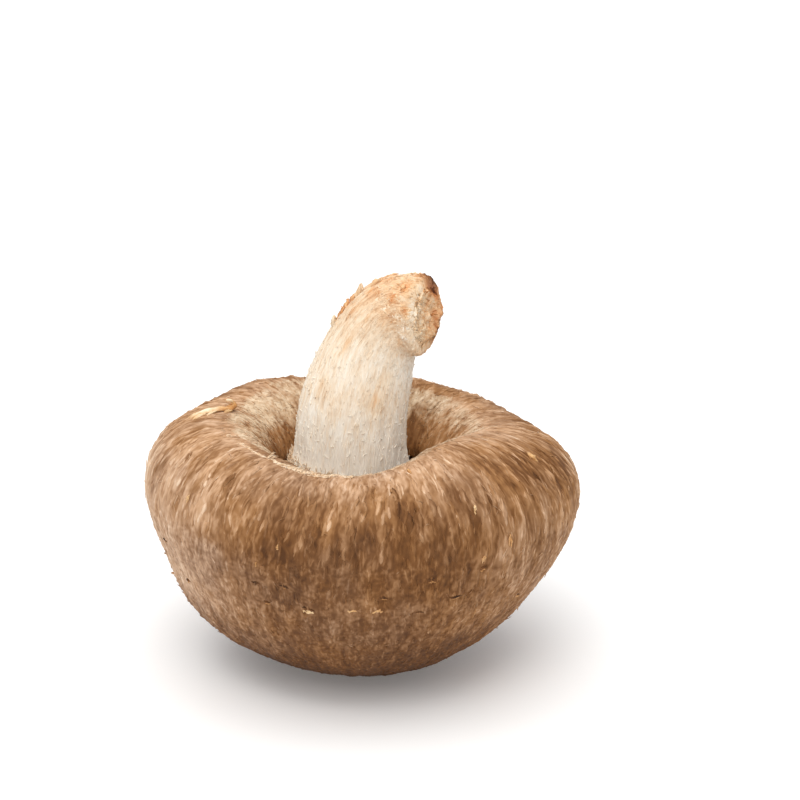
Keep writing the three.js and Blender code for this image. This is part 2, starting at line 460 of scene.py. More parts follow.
def makeCamera():
    elevation = radians(cameraSettings["elevation"])
    look = Vector((0, cos(elevation), -sin(elevation)))
    up = Vector((0, sin(elevation), cos(elevation)))
    middle = Vector((-stance["crownShift"], 0, stance["ringHeight"]))
    place = middle - look * cameraSettings["distance"]
    target = middle + Vector((1, 0, 0)) * cameraSettings["right"] + up * cameraSettings["up"]
    data = bpy.data.cameras.new("camera")
    data.lens = cameraSettings["lens"]
    data.sensor_width = cameraSettings["sensor"]
    data.clip_start = cameraSettings["clipStart"]
    camera = bpy.data.objects.new("camera", data)
    bpy.context.scene.collection.objects.link(camera)
    camera.location = place * mm
    camera.rotation_euler = (target - place).to_track_quat("-Z", "Y").to_euler()
    bpy.context.scene.camera = camera


makeCamera()

lightSettings = {
    "world": (0.95, 0.97, 1.0),
    "worldStrength": 0.52,
    "areas": [
        # name, place, target, size, watts, colour
        ("overheadLight", (-0.08, 0.05, 1.0), (0, 0, 0.02), 1.5, 11.5, (1.0, 0.99, 0.97)),
        ("frontLight", (-0.15, -0.85, 1.0), (0, 0, 0.02), 0.8, 5.5, (1.0, 0.985, 0.96)),
    ],
}


def makeLights():
    world = bpy.data.worlds.new("studio")
    world.use_nodes = True
    background = world.node_tree.nodes["Background"]
    background.inputs["Color"].default_value = (*lightSettings["world"], 1)
    background.inputs["Strength"].default_value = lightSettings["worldStrength"]
    bpy.context.scene.world = world
    for name, place, target, size, watts, color in lightSettings["areas"]:
        data = bpy.data.lights.new(name, "AREA")
        data.size = size
        data.energy = watts
        data.color = color
        light = bpy.data.objects.new(name, data)
        bpy.context.scene.collection.objects.link(light)
        light.location = place
        light.rotation_euler = (Vector(target) - Vector(place)).to_track_quat("-Z", "Y").to_euler()


makeLights()
bpy.context.scene.view_settings.view_transform = "Standard"


floorSettings = {
    "half": 3.0,  # metres
    "cloud": 6.0,
    "greys": [(0.885, 0.885, 0.885), (0.915, 0.915, 0.915)],
    "roughness": 0.5,
    "glow": (1.0, 0.96, 0.92),  # a faint glow keeps the shadow light
    "glowStrength": 0.13,
}


def makeFloor():
    settings = floorSettings
    desk = NodeDesk("paleFloor")
    cloud = desk.noise(desk.place(), settings["cloud"])
    desk.wire(desk.mix(cloud, *settings["greys"]), desk.shader.inputs["Base Color"])
    desk.shader.inputs["Roughness"].default_value = settings["roughness"]
    desk.shader.inputs["Emission Color"].default_value = (*settings["glow"], 1)
    desk.shader.inputs["Emission Strength"].default_value = settings["glowStrength"]
    bm = bmesh.new()
    bmesh.ops.create_grid(bm, x_segments=2, y_segments=2, size=settings["half"])
    floor = linkMesh(bm, "floor", desk.material)


makeFloor()
print("camera, light and floor made")

# strands: fibrils, fibres, frays and hairs

strandShape = {
    "sides": 3,
    "wide": 1.73,  # across a triangle of radius 1
    "sink": 0.07,
    "taper": 0.75,
    "bow": 1.4,
    "least": 0.35,
    "most": 1.7,
    "ridgeRough": 0.7,
    "pathRough": 0.5,
    "leastGirth": 1.5,
    "seed": 5,
}
rowNames = ("turn", "along", "length", "width", "high", "lean", "root", "tip", "tone")


def repeatMesh(template, count):
    # that many copies of a small mesh in one, by doubling it
    bm = bmesh.new()
    block = template
    while count:
        if count & 1:
            bm.from_mesh(block)
        count >>= 1
        if count:
            double = bmesh.new()
            double.from_mesh(block)
            double.from_mesh(block)
            block = bpy.data.meshes.new("block")
            double.to_mesh(block)
            double.free()
    return bm


def makeStrands(name, material, strands, body, rings, ragged=0.15):
    # many slim closed spindles laid on a body: their places, sizes in millimetres, leans in degrees and tones
    count = len(strands["turn"])
    steps = [(0, 0)] + [(1, (i + 1) / (rings + 1)) for i in range(rings)] + [(0, 1)]
    small = bpy.data.meshes.new("strand")
    template = spinRows(steps, strandShape["sides"])
    template.to_mesh(small)
    template.free()
    shape = readPoints(small)
    piece = linkMesh(repeatMesh(small, count), name, material)
    side, top, reach = shape[:, 1], np.maximum(shape[:, 0], 0), 2 * shape[:, 2] - 1
    width = np.where(np.hypot(shape[:, 0], shape[:, 1]) > 0.5, (1 - reach**2) ** strandShape["taper"], 0)
    field = {key: np.broadcast_to(values, count)[:, None] for key, values in strands.items()}
    ring = np.rint(shape[:, 2] * (rings + 1)).astype(int)
    jitter = np.random.default_rng(strandShape["seed"]).normal(0, ragged, (3, count, rings + 2))[:, :, ring]
    width = width * np.clip(1 + jitter[0], strandShape["least"], strandShape["most"])
    across = side * width * field["width"] / strandShape["wide"] + field["curl"] * (1 - reach**2)
    across = across + strandShape["pathRough"] * jitter[1] * field["width"]
    onward = reach * field["length"] / 2
    lean = np.radians(field["lean"])
    aside = across * np.cos(lean) + onward * np.sin(lean)
    along = field["along"] + onward * np.cos(lean) - across * np.sin(lean)
    turn = field["turn"] + aside / np.maximum(body["girth"](along), strandShape["leastGirth"])
    grow = ((reach + 1) / 2) ** strandShape["bow"]
    lift = field["root"] * (1 - grow) + field["tip"] * grow
    ridge = top * width * (1 + strandShape["ridgeRough"] * jitter[2])
    lift = (lift + ridge * (field["high"] + strandShape["sink"]) - strandShape["sink"]).ravel()
    girth = body["girth"](along) / capForm["radius"]
    tone = np.clip(field["tone"] + field.get("fade", 0) * reach, 0, 1)
    turn, along = turn.ravel(), along.ravel()
    writePoints(piece.data, body["place"](turn, along, lift + body["relief"](turn, along)))
    writeGrain(piece.data, turn, along)
    writeNumbers(piece.data, tone=tone.ravel(), girth=girth.ravel())
    for key in ("warm", "veil"):
        if key in field:
            writeNumbers(piece.data, **{key: np.broadcast_to(field[key], tone.shape).ravel()})
    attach(piece, "root")


def spread(rng, low, high, count):
    return rng.uniform(low, high, count)


def scatter(rng, settings):
    # places all round, between two lengths along
    turn = spread(rng, -pi, pi, settings["count"])
    return turn, spread(rng, *settings["alongs"], settings["count"])


def drawStrands(rng, settings, turn, along):
    # a strand at each place, with its sizes drawn from the ranges in the settings
    count = len(turn)
    low, high = settings["length"]
    strands = {"turn": turn, "along": along, "root": settings["root"]}
    strands["length"] = low + (high - low) * rng.random(count) ** settings.get("shortBias", 1)
    strands["width"] = spread(rng, *settings["width"], count)
    strands["high"] = spread(rng, *settings["high"], count)
    strands["curl"] = rng.normal(0, settings["curl"], count)
    if "lean" in settings:
        strands["lean"] = rng.normal(0, settings["lean"], count)
    if "reversed" in settings:
        strands["lean"] += 180 * (rng.random(count) < settings["reversed"])
    if "tip" in settings:
        strands["tip"] = spread(rng, *settings["tip"], count)
    if "warm" in settings:
        strands["warm"] = settings["warm"]
    return strands


def growStrands(name, material, settings, body):
    # strands all over a body, toned like the skin under them
    rng = np.random.default_rng(settings["seed"])
    turn, along = scatter(rng, settings)
    strands = drawStrands(rng, settings, turn, along)
    tone = body["tone"](turn, along)
    if "paler" in settings:
        tone = tone + spread(rng, *settings["paler"], len(turn))
    else:
        tone = tone + rng.normal(0, settings["toneSpread"], len(turn))
    strands["tone"] = np.clip(tone, settings["darkest"], 1)
    strands["warm"] = body["warm"](turn, along) * settings.get("warmth", 1)
    makeStrands(name, material, strands, body, settings["rings"])


def rowStrands(rng, table, curl):
    strands = {name: table[:, i] for i, name in enumerate(rowNames)}
    strands["curl"] = rng.normal(0, curl, len(table))
    return strands


# cap

capSettings = {
    "around": 400,
    "domeRows": 96,
    "rollRows": 70,
    "underRows": 26,
    # layers of noise: share, cells round, length of a cell, seed
    "lumps": [(0.34, 22, 9.0, 1), (0.2, 60, 4.0, 2)],
    "broadComb": [(1.0, 140, 5.0, 3)],
    "fineComb": [(1.0, 240, 2.6, 4)],
    # small tears in the skin: direction, along, half width, half height
    "tears": [
        (-116.6, 38.1, 1.6, 0.5), (-104.6, 39.0, 1.5, 0.5), (-111.1, 42.0, 1.7, 0.4),
        (-119.4, 41.4, 1.5, 0.4), (-73.8, 38.6, 1.2, 0.6), (-71.6, 44.1, 1.4, 0.4),
        (-84.2, 41.2, 1.2, 0.4), (-64.1, 41.0, 2.2, 0.4), (-36.6, 37.2, 1.2, 0.7),
    ],
    "tearDepth": 0.35,
    "tearMargin": 0.3,
    "bodyDarker": 0.07,  # the body under the fibrils
    # dark and pale places, as paint takes them
    "shades": {
        "base": 0.43,
        "cloud": [(0.55, 14, 9.0, 11), (0.45, 36, 5.0, 12)],
        "patches": [
            (-25, 45, 56, 7, -0.09), (-92, 62, 46, 9, -0.15), (-114, 16, 47, 5, -0.08),
            (-55, 130, 61.5, 5.5, 0.12), (-78, 40, 54.5, 6, -0.07), (138, 34, 57, 5, -0.15),
            (-178, 16, 46.5, 7, 0.14), (-82, 52, 35, 7, -0.07),
        ],
        "washes": [
            (188, 72, (22, 36), (52, 60), 0.289), (188, 72, (22, 36), toEnd, 0.051),
            (-15, 60, (30, 40), (48, 54), 0.15), (20, 80, (62, 65), toEnd, 0.15),
            (-28, 32, fromStart, (26, 36), 0.14), (-150, 30, fromStart, (28, 34), 0.07),
            (-136, 26, (63.6, 64.6), toEnd, -0.20), (64, 38, (59, 61.5), toEnd, -0.08),
            # painted shade: these two darken the cap towards the crown, which rests on the floor
            (0, allRound, fromStart, (14, 38), -0.40), (0, allRound, fromStart, (38, 46), -0.035),
            (0, allRound, (66, 74), toEnd, -0.14),
        ],
    },
    # golden and grey places
    "golds": {
        "base": 0.5,
        "cloud": [(0.4, 18, 7.0, 13), (0.3, 50, 4.0, 14), (0.3, 130, 2.4, 19)],
        "patches": [(0, allRound, 51, 12, 0.32), (-134, 7, 43.5, 3.5, -0.55)],
        "washes": [
            (0, allRound, fromStart, (24, 36), 0.15), (190, 75, fromStart, (50, 60), -0.5),
            (0, allRound, (65, 70), toEnd, 0.35), (60, 60, (59, 62), toEnd, 0.25),
        ],
    },
    # whitish felt on the wall inside the roll: where along it starts and ends, and how that changes round
    "felt": {
        "start": 63.6,
        "startRagged": [(1.3, 60, 1.0, 15)],
        "startHumps": [(0, 90, 1.2), (-139, 26, 2.6), (-70, 40, 1.0), (-110, 24, -1.1), (116, 52, -2.2)],
        "end": 69.2,
        "endRagged": [(3.4, 36, 1.0, 35)],
        "endHumps": [(188, 45, 1.6)],
        "clump": [(0.5, 40, 3.4, 33), (0.5, 110, 1.6, 34)],
    },
    "finish": {
        "roughness": 0.75,
        "sheen": 0.25,
        "relief": 0.5,
        "reliefDepth": 0.0005,
        "wander": (0.045, 0.045, 1.1),
        "wanderScale": 420.0,
        "domeShorter": 0.9,
        "tangleScale": 1500.0,
        "speckleScale": 2200.0,
        "speckle": 0.08,
        # streaks: width, length, share, shift; for three radii, so they stay slim where the cap is narrow
        "streaks": [(0.55, 2.4, 0.37, 0), (1.3, 4.6, 0.33, 9), (0.65, 1.1, 0.30, 19)],
        "radii": [(30.0, 0.0), (16.0, 40.0), (7.0, 80.0)],
        "grey": [
            (0.0, (78, 50, 32)), (0.25, (110, 78, 54)), (0.5, (153, 118, 90)), (0.75, (196, 160, 130)),
            (1.0, (226, 198, 170)),
        ],
        "gold": [
            (0.0, (84, 50, 20)), (0.25, (116, 74, 36)), (0.5, (158, 112, 68)), (0.75, (205, 160, 118)),
            (1.0, (233, 200, 164)),
        ],
        "wool": [(186, 154, 117), (229, 211, 184)],
    },
}


def capRows(settings):
    # places along the outline, even on dome and roll, looser underneath
    dome = np.linspace(0, marks["ring"], settings["domeRows"], endpoint=False)
    roll = np.linspace(marks["ring"], marks["edge"], settings["rollRows"], endpoint=False)
    under = np.linspace(marks["edge"], marks["end"], settings["underRows"])
    return np.concatenate([dome, roll, under])


def capCombing(turn, along):
    # streaks combed from crown to margin, from -0.5 to 0.5: broad ones and fine ones
    return [mottle(skinNoise, turn, along, capSettings[key]) for key in ("broadComb", "fineComb")]


def capRelief(turn, along):
    settings = capSettings
    outside = fallStep(along, marks["edge"] - 1.5, marks["edge"])
    clear = smoothStep(along, 7.0, 10.0)
    lumps = mottle(skinNoise, turn, along, settings["lumps"])
    broad, fine = capCombing(turn, along)
    for at, level, wide, high in settings["tears"]:
        dent = spot(turn, along, girthAt(along), at, level, wide, high + settings["tearMargin"])
        lumps = lumps - settings["tearDepth"] * dent
    return (lumps + 0.26 * broad + 0.12 * fine) * outside * clear


def capTone(turn, along):
    # 0 dark, 1 pale: the front band is dark, the roll, the left side and the inner wall are pale, and painted
    #                 shade darkens it towards the crown, which rests on the floor
    shades = capSettings["shades"]
    roll = (along - marks["ring"]) / (marks["edge"] - marks["ring"])
    pale = shades["base"] + 0.15 * smoothStep(roll, 0.1, 0.5)
    pale = pale + paint(turn, along, shades["patches"], shades["washes"])
    broad, fine = capCombing(turn, along)
    comb = (0.12 + 0.20 * hump(along - 53, 11)) * broad + 0.12 * fine
    return np.clip(pale + 0.24 * mottle(skinNoise, turn, along, shades["cloud"]) + comb, 0, 1)


def capWarm(turn, along):
    # 0 grey brown, 1 golden brown
    golds = capSettings["golds"]
    warm = golds["base"] + paint(turn, along, golds["patches"], golds["washes"])
    return np.clip(warm + 1.1 * mottle(skinNoise, turn, along, golds["cloud"]), 0, 1)


def capVeil(turn, along):
    # how far the felt covers the skin, from just past the highest line of the roll
    felt = capSettings["felt"]
    direction = np.degrees(turn)
    start = felt["start"] + mottle(skinNoise, turn, along * 0, felt["startRagged"])
    start = start + humps(direction, felt["startHumps"])
    end = felt["end"] + mottle(skinNoise, turn, along * 0, felt["endRagged"])
    end = end + humps(direction, felt["endHumps"])
    clump = 0.5 + mottle(skinNoise, turn, along, felt["clump"])
    band = smoothStep(along, start - 0.4, start + 1.4) * fallStep(along, end - 2.6, end + 3.0)
    return band * (0.25 + 0.75 * smoothStep(clump, 0.26, 0.62)) * (0.8 + 0.2 * humpAt(direction, 165, 90))


def capStreaks(desk, place):
    # fine streaks along the grain, shorter on the dome than on the roll
    settings = capSettings["finish"]
    parts = desk.add("ShaderNodeSeparateXYZ")
    desk.wire(desk.attribute("grain", "Vector"), parts.inputs[0])
    below = desk.math("MINIMUM", desk.math("SUBTRACT", parts.outputs["Z"], marks["ring"]), 0.0)
    height = desk.math("MULTIPLY_ADD", below, settings["domeShorter"], parts.outputs["Z"])
    combed = desk.feed(desk.add("ShaderNodeCombineXYZ"), (parts.outputs["X"], parts.outputs["Y"], height))
    wander = desk.noise(place, settings["wanderScale"], 1.0, 0.5, output="Color")
    multiplyAdd = desk.add("ShaderNodeVectorMath", operation="MULTIPLY_ADD")
    wavy = desk.feed(multiplyAdd, (wander, settings["wander"], combed))
    layers = []
    for radius, shift in settings["radii"]:
        total = 0.0
        for width, length, share, away in settings["streaks"]:
            scale = (radius / width, radius / width, 1 / length)
            part = desk.noise(desk.stretch(wavy, scale, (away, 0, shift)), 1.0, 1.0, 0.4)
            total = desk.math("MULTIPLY_ADD", part, share, total)
        layers.append(total)
    girth = desk.attribute("girth")
    narrow = desk.mix(desk.span(girth, 0.22, 0.42), layers[2], layers[1])
    return desk.mix(desk.span(girth, 0.52, 0.72), narrow, layers[0])


def capSkinMaterial():
    settings = capSettings["finish"]
    desk = NodeDesk("capSkin")
    tone = desk.attribute("tone")
    place = desk.place()
    streak = capStreaks(desk, place)
    value = desk.math("ADD", tone, desk.span(streak, 0.36, 0.64, -0.17, 0.19), clamp=True)
    golden = desk.span(value, 0.2, 0.8, 0.3, -0.3)  # the darker, the more golden
    golden = desk.math("ADD", desk.attribute("warm"), golden, clamp=True)
    skin = desk.mix(golden, desk.ramp(value, settings["grey"]), desk.ramp(value, settings["gold"]))
    veil = desk.attribute("veil")
    tangle = desk.noise(place, settings["tangleScale"], 2.0, 0.5, 0.5)
    frayed = desk.math("ADD", veil, desk.span(tangle, 0.38, 0.62, -0.12, 0.12))
    frayed = desk.math("ADD", frayed, desk.span(streak, 0.38, 0.62, -0.36, 0.36))
    felt = desk.math("MULTIPLY", desk.span(frayed, 0.0, 1.0, 0.0, 0.86), desk.span(veil, 0.0, 0.2))
    shade = desk.math("MULTIPLY_ADD", tangle, 0.5, desk.math("MULTIPLY", streak, 0.5))
    shade = desk.span(desk.math("MULTIPLY_ADD", tone, 0.4, shade), 0.50, 0.92)
    wool = desk.mix(shade, *(srgb(*color) for color in settings["wool"]))
    speckle = desk.noise(place, settings["speckleScale"], 1.0)
    height = desk.math("MULTIPLY_ADD", speckle, settings["speckle"], streak)
    return desk.finish(desk.mix(felt, skin, wool), height, settings)


def matchAlong(points, rows):
    # which outline row each spun vertex came from
    radius = np.hypot(points[:, 0], points[:, 1])
    rowR = np.interp(rows, outlineAlong, outline[:, 0])
    rowZ = np.interp(rows, outlineAlong, outline[:, 1])
    nearest = np.empty(len(points), int)
    for start in range(0, len(points), 20000):
        part = slice(start, start + 20000)
        gapR = radius[part, None] - rowR[None, :]
        gapZ = points[part, 2][:, None] - rowZ[None, :]
        nearest[part] = np.argmin(gapR**2 + gapZ**2, axis=1)
    return rows[nearest]


capSkin = capSkinMaterial()
onCap = {
    "place": capPoint,
    "girth": girthAt,
    "relief": capRelief,
    "tone": capTone,
    "warm": capWarm,
    "slot": "cap",
}


def makeCap():
    rows = capRows(capSettings)
    line = np.stack([girthAt(rows), np.interp(rows, outlineAlong, outline[:, 1])], 1)
    cap = linkMesh(spinRows(line, capSettings["around"]), "capSkin", capSkin)
    points = readPoints(cap.data)
    turn = np.arctan2(points[:, 1], points[:, 0])
    along = matchAlong(points, rows)
    writePoints(cap.data, capPoint(turn, along, capRelief(turn, along)))
    writeGrain(cap.data, turn, along)
    tone = capTone(turn, along) - capSettings["bodyDarker"]
    writeNumbers(cap.data, tone=tone, warm=capWarm(turn, along), veil=capVeil(turn, along))
    writeNumbers(cap.data, girth=girthAt(along) / capForm["radius"])
    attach(cap, "root")
    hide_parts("cap")


makeCap()
print("cap made")

# fibrils lying on the skin

fibrilSettings = {
    "seed": 31,
    # name, where along it starts and ends, rings of a fibril
    "bands": [("crownFibrils", 5.0, 37.0, 2), ("rimFibrils", 37.0, 73.0, 3)],
    "cover": 0.95,
    "footprint": 0.62,  # a spindle's share of its length by its width
    "pitch": 0.5,  # of a fibril's length
    # along, length, width, height
    "sizes": [
        (4, 0.8, 0.44, 0.05), (16, 1.0, 0.5, 0.06), (30, 1.2, 0.6, 0.08), (40, 1.6, 0.64, 0.1),
        (50, 2.9, 0.75, 0.13), (58, 3.6, 0.9, 0.15), (64, 2.6, 0.55, 0.08), (72, 1.8, 0.4, 0.05),
    ],
    "sway": [(18, 30, 7.0, 16)],
}


def fibrilRows(low, high):
    settings = fibrilSettings
    rng = np.random.default_rng(settings["seed"])
    sizes = np.array(settings["sizes"])
    turns, alongs = [], []
    along = low
    while along < high:
        length, width = (np.interp(along, sizes[:, 0], sizes[:, i]) for i in (1, 2))
        pitch = length * settings["pitch"]
        area = settings["footprint"] * length * width
        count = int(tau * girthAt(along) * pitch * settings["cover"] / area)
        turns.append((np.arange(count) + rng.random(count)) * tau / count)
        alongs.append(along + rng.uniform(-0.5, 0.5, count) * length)
        along += pitch
    turn = (np.concatenate(turns) + pi) % tau - pi
    along = np.clip(np.concatenate(alongs), low, high)
    count = len(turn)
    size = np.exp(rng.normal(0, 0.28, count))
    length, width, thick = (np.interp(along, sizes[:, 0], sizes[:, i]) for i in (1, 2, 3))
    tone = capTone(turn, along) + rng.normal(0, 1, count) * (0.045 + 0.05 * hump(along - 55, 10))
    return {
        "turn": turn,
        "along": along,
        "fade": -0.05 * hump(along - 54, 11),
        "veil": capVeil(turn, along),
        "length": length * size,
        "width": width * np.exp(rng.normal(0, 0.25, count)),
        "high": thick * rng.uniform(0.5, 1.3, count),
        "curl": rng.normal(0, 0.07, count) * length,
        "lean": mottle(skinNoise, turn, along, settings["sway"]) + rng.normal(0, 8, count),
        "root": -0.03,
        "tip": rng.uniform(-0.05, 0.08, count),
        "tone": np.clip(tone, 0.02, 0.98),
        "warm": np.clip(capWarm(turn, along) + rng.normal(0, 0.08, count), 0, 1),
    }


def makeFibrils():
    for name, low, high, rings in fibrilSettings["bands"]:
        strands = fibrilRows(low, high)
        makeStrands(name, capSkin, strands, onCap, rings)
        print(name, len(strands["turn"]))


makeFibrils()

# pale flesh for torn places, wool, fibres and frays: from rust brown through orange tan to cream

fleshFinish = {
    "roughness": 0.8,
    "sheen": 0.25,
    "relief": 0.6,
    "reliefDepth": 0.0002,
    "cloud": 900.0,
    "dull": [
        (0.0, (56, 34, 22)), (0.18, (128, 90, 60)), (0.38, (188, 150, 112)), (0.6, (220, 190, 156)),
        (0.8, (240, 220, 194)), (1.0, (250, 240, 226)),
    ],
    "paleFlesh": [
        (0.0, (66, 34, 14)), (0.18, (152, 86, 40)), (0.38, (222, 151, 92)), (0.6, (240, 195, 144)),
        (0.8, (247, 221, 185)), (1.0, (252, 240, 224)),
    ],
    "peelFlesh": [
        (0.0, (62, 36, 12)), (0.18, (140, 86, 38)), (0.38, (208, 148, 84)), (0.6, (232, 190, 132)),
        (0.8, (244, 220, 178)), (1.0, (250, 238, 216)),
    ],
}


def fleshMaterial(name):
    settings = fleshFinish
    desk = NodeDesk(name)
    tone = desk.attribute("tone")
    cloud = desk.noise(desk.place(), settings["cloud"], 2.0, 0.5)
    value = desk.math("ADD", tone, desk.span(cloud, 0.35, 0.65, -0.07, 0.07), clamp=True)
    dull = desk.ramp(value, settings["dull"])
    color = desk.mix(desk.attribute("warm"), dull, desk.ramp(value, settings[name]))
    return desk.finish(color, cloud, settings)


paleFlesh = fleshMaterial("paleFlesh")
peelFlesh = fleshMaterial("peelFlesh")
print("flesh materials made")

# cobweb fibres on the wall inside the roll

wallSettings = {
    "seed": 41,
    "count": 14500,
    "alongs": (62.0, 80.0),
    "length": (0.8, 3.8),
    "shortBias": 1.6,
    "width": (0.04, 0.085),
    "high": (0.01, 0.04),
    "curl": 0.16,
    "lean": 26,
    "root": -0.02,
    "tip": (-0.02, 0.14),
    "warm": 0.6,
}


def makeWallFibres():
    rng = np.random.default_rng(wallSettings["seed"])
    turn, along = scatter(rng, wallSettings)
    veil = capVeil(turn, along)
    keep = rng.random(len(turn)) < 0.06 + 1.1 * veil
    turn, along, veil = turn[keep], along[keep], veil[keep]
    strands = drawStrands(rng, wallSettings, turn, along)
    strands["tone"] = np.clip(0.45 + 0.25 * veil + rng.normal(0, 0.1, len(turn)), 0.1, 1)
    strands["veil"] = np.clip(0.3 + 0.5 * veil + rng.normal(0, 0.15, len(turn)), 0.1, 1)
    makeStrands("wallFibres", capSkin, strands, onCap, 3)


makeWallFibres()
print("wall fibres made")

# woolly edge of the margin

marginWoolSettings = {
    "seed": 43,
    "count": 1400,
    "alongs": (63.0, 65.2),
    # tufts of wool: direction, along, strands, rise
    "tufts": [(-132, 63.6, 14, 1.5), (-121, 63.5, 6, 0.4), (-147, 63.3, 6, 0.3), (-158, 62.8, 6, 0.3)],
    "hem": 1100,
    "hemTurns": (-152, -96),
    "hemAlong": 63.45,
    "length": (0.6, 1.7),
    "width": (0.07, 0.17),
    "high": (0.02, 0.05),
    "curl": 0.16,
    "root": -0.03,
    "tone": 0.70,
    "warm": 0.25,
}


def makeMarginWool():
    settings = marginWoolSettings
    rng = np.random.default_rng(settings["seed"])
    turn, along = scatter(rng, settings)
    front = 0.3 + 0.7 * humpAt(np.degrees(turn), -125, 50)
    keep = rng.random(len(turn)) < capVeil(turn, along + 0.5) * front
    turn, along = turn[keep], along[keep]
    parts = [(turn, along, spread(rng, -0.02, 0.1, len(turn)), rng.normal(0, 40, len(turn)))]
    for at, level, strands, high in settings["tufts"]:
        parts.append((
            np.radians(at + rng.normal(0, 1.2, strands)),
            level + rng.normal(0.2, 0.3, strands),
            high * spread(rng, 0.3, 1.0, strands),
            rng.normal(50, 22, strands),
        ))
    hem = spread(rng, *settings["hemTurns"], settings["hem"])
    thick = smoothStep(hem, -134, -122) * (0.5 + 0.5 * fallStep(hem, -106, -98))
    keep = rng.random(len(hem)) < 0.25 + thick
    hem, thick = hem[keep], thick[keep]
    parts.append((
        np.radians(hem),
        settings["hemAlong"] + rng.normal(0, 0.1 + 0.28 * thick),
        rng.random(len(hem)) * (0.08 + 0.3 * thick),
        rng.normal(90, 12 + 20 * thick),
    ))
    turn, along, rise, lean = np.hstack(parts)
    strands = drawStrands(rng, settings, turn, along)
    strands.update(tip=rise, lean=lean)
    strands["tone"] = np.clip(settings["tone"] + rng.normal(0, 0.08, len(turn)), 0.45, 0.95)
    makeStrands("marginWool", paleFlesh, strands, onCap, 3)


makeMarginWool()
print("margin wool made")

# torn flakes of skin

flakeSettings = {
    "seed": 47,
    # peels: direction, along, length, width, height, lean, tip rise, tone
    "flakes": [
        (-22.5, 56.0, 1.9, 0.85, 0.3, 6, 0.20, 0.50), (-49.0, 47.5, 1.9, 0.5, 0.25, -4, 0.25, 0.36),
        (-57.4, 46.2, 1.2, 0.5, 0.2, 24, 0.25, 0.40), (-58.6, 52.3, 1.3, 0.42, 0.25, 5, 0.25, 0.62),
        (-74.2, 60.9, 1.8, 0.4, 0.25, -8, 0.25, 0.38), (-169.1, 33.4, 1.2, 0.3, 0.2, 40, 0.6, 0.45),
        (-112.9, 48.4, 1.1, 0.35, 0.2, 0, 0.2, 0.46), (-145.1, 50.4, 1.2, 0.4, 0.2, 12, 0.25, 0.6),
        (-118.6, 45.0, 1.0, 0.35, 0.2, 12, 0.2, 0.44), (150.0, 50.0, 2.0, 0.6, 0.3, 10, 0.3, 0.5),
        (95.0, 44.0, 1.8, 0.6, 0.25, -15, 0.3, 0.55), (40.0, 52.0, 1.8, 0.5, 0.25, 20, 0.3, 0.42),
        (10.0, 38.0, 1.4, 0.5, 0.25, 70, 0.2, 0.55), (120.0, 34.0, 1.4, 0.5, 0.2, 75, 0.2, 0.58),
        (179.6, 59.9, 3.2, 0.34, 0.22, -38, 0.25, 0.66), (177.8, 61.5, 2.6, 0.24, 0.16, -44, 0.3, 0.74),
        (176.6, 58.9, 2.4, 0.26, 0.16, -30, 0.2, 0.70), (172.2, 63.7, 2.2, 0.24, 0.2, -60, 0.4, 0.60),
    ],
    # flesh bared in tears, a dark strip over it as painted shadow in the slit: direction, along, length,
    # width, tone, slit length
    "tears": [
        (-104.4, 38.6, 1.9, 0.60, 0.62, 2.2), (-116.6, 38.4, 1.1, 0.50, 0.30, 1.1),
        (-92.5, 39.7, 1.5, 0.50, 0.46, 0.0), (-85.6, 39.6, 1.6, 0.70, 0.50, 0.0),
        (-111.1, 42.0, 0.9, 0.26, 0.28, 2.0), (-119.4, 41.6, 0.8, 0.26, 0.30, 1.8),
        (-73.8, 38.8, 1.0, 0.40, 0.30, 1.4), (-84.2, 41.6, 1.1, 0.34, 0.34, 1.2),
        (-71.6, 44.1, 1.2, 0.34, 0.36, 1.3), (-64.1, 41.0, 1.7, 0.30, 0.36, 2.2),
        (-36.6, 37.2, 1.2, 0.52, 0.42, 1.0), (-57.4, 44.9, 1.0, 0.26, 0.34, 1.4),
        (80.0, 40.0, 1.6, 0.50, 0.50, 1.8), (130.0, 46.0, 1.3, 0.40, 0.45, 1.5),
        (-160.0, 41.0, 0.9, 0.26, 0.32, 1.8), (-150.5, 36.0, 0.9, 0.30, 0.36, 1.5),
        (20.0, 44.0, 1.3, 0.40, 0.46, 1.5), (165.0, 38.0, 1.1, 0.36, 0.42, 1.6),
    ],
}


def makeFlakes():
    settings = flakeSettings
    rng = np.random.default_rng(settings["seed"])
    rows = []
    for at, level, length, width, high, lean, tip, tone in settings["flakes"]:
        for aside, size in ((-0.22, 0.8), (0.0, 1.0), (0.2, 0.7)):
            rows.append((
                at + degrees((aside + rng.normal(0, 0.05)) * width / girthAt(level)),
                level + rng.normal(0, 0.1), length * size, width * rng.uniform(0.5, 0.75), high,
                lean + rng.normal(0, 4), 0.0, tip * rng.uniform(0.5, 1.0), tone + rng.normal(0, 0.04),
            ))
    for at, level, length, width, tone, shadowSlit in settings["tears"]:
        for part in (-0.3, 0.3):
            aside = at + degrees(part * length / 2 / girthAt(level))
            rows.append((
                aside, level + rng.normal(0, 0.04), length * 0.8, width * rng.uniform(0.9, 1.2), 0.1,
                90 + rng.normal(0, 8), 0.02, 0.02, tone + rng.normal(0, 0.03),
            ))
            # a near-black strand over the bared flesh: painted shadow in the tear's slit
            if shadowSlit:
                rows.append((
                    aside, level + 0.5 * width + 0.16 + rng.normal(0, 0.03), shadowSlit * 0.75, 0.4, 0.04,
                    90 + rng.normal(0, 8), 0.1, 0.1, rng.uniform(0.03, 0.1),
                ))
    strands = rowStrands(rng, np.array(rows, float), 0.08)
    strands["turn"] = np.radians(strands["turn"])
    strands["warm"] = spread(rng, 0.5, 0.8, len(rows))
    makeStrands("tornFlakes", peelFlesh, strands, onCap, 7, 0.22)


makeFlakes()
print("torn flakes made")

# the curled strip on the left of the rim

